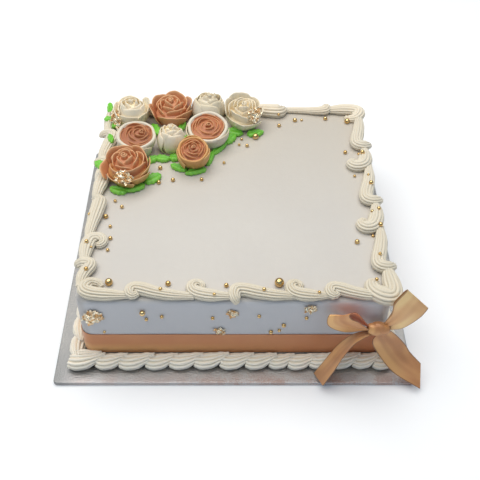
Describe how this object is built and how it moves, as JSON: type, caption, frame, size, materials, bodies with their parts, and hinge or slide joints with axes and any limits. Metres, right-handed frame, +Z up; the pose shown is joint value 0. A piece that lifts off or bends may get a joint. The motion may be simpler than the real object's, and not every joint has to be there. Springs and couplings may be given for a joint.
{
  "type": "decorated cake",
  "caption": "Square iced celebration cake on a foil board, with piped borders, a satin ribbon and bow, piped roses with leaves, and gold pearls.",
  "frame": {"origin": "centre of the board's underside", "axes": "+Z up, -Y to the front where the bow is, +X to the right seen from the front"},
  "size_m": [0.3609, 0.3647, 0.1286],
  "materials": {
    "foil": "embossed silver foil",
    "smooth_icing": "smooth cream icing, slightly glossy",
    "piped_icing": "piped cream icing, satin",
    "band_satin": "copper satin ribbon",
    "bow_satin": "gold satin ribbon",
    "bronze_icing": "lustred bronze icing with gold petal edges",
    "ivory_icing": "ivory icing, satin",
    "two_tone_icing": "ivory outside, bronze inside",
    "leaf_icing": "bright green icing, satin"
  },
  "bodies": {
    "root": {"board": "foil", "iced_cake": "smooth_icing", "top_border_front": "piped_icing", "top_border_right": "piped_icing", "top_border_back": "piped_icing", "top_border_left": "piped_icing", "foot_border_front": "piped_icing", "foot_border_right": "piped_icing", "foot_border_back": "piped_icing", "foot_border_left": "piped_icing", "ribbon_band": "band_satin", "bow_knot": "bow_satin", "bow_loop_left": "bow_satin", "bow_loop_right": "bow_satin", "bow_tail_left": "bow_satin", "bow_tail_right": "bow_satin", "rose_back_left": "ivory_icing", "rose_back_bronze": "bronze_icing", "rose_back_ivory": "ivory_icing", "rose_right_ivory": "ivory_icing", "rose_two_tone_right": "two_tone_icing", "rose_two_tone_left": "two_tone_icing", "rose_ivory_bud": "ivory_icing", "rose_front_bronze": "bronze_icing", "rose_small_bronze": "bronze_icing", "leaf_01": "leaf_icing", "leaf_02": "leaf_icing", "leaf_03": "leaf_icing", "leaf_04": "leaf_icing", "leaf_05": "leaf_icing", "leaf_06": "leaf_icing", "leaf_07": "leaf_icing", "leaf_08": "leaf_icing", "leaf_09": "leaf_icing", "leaf_10": "leaf_icing", "leaf_11": "leaf_icing", "leaf_12": "leaf_icing", "leaf_13": "leaf_icing", "leaf_14": "leaf_icing", "leaf_15": "leaf_icing", "leaf_16": "leaf_icing", "leaf_17": "leaf_icing", "leaf_18": "leaf_icing", "leaf_19": "leaf_icing", "leaf_20": "leaf_icing", "leaf_21": "leaf_icing", "leaf_22": "leaf_icing"}
  },
  "joints": []
}
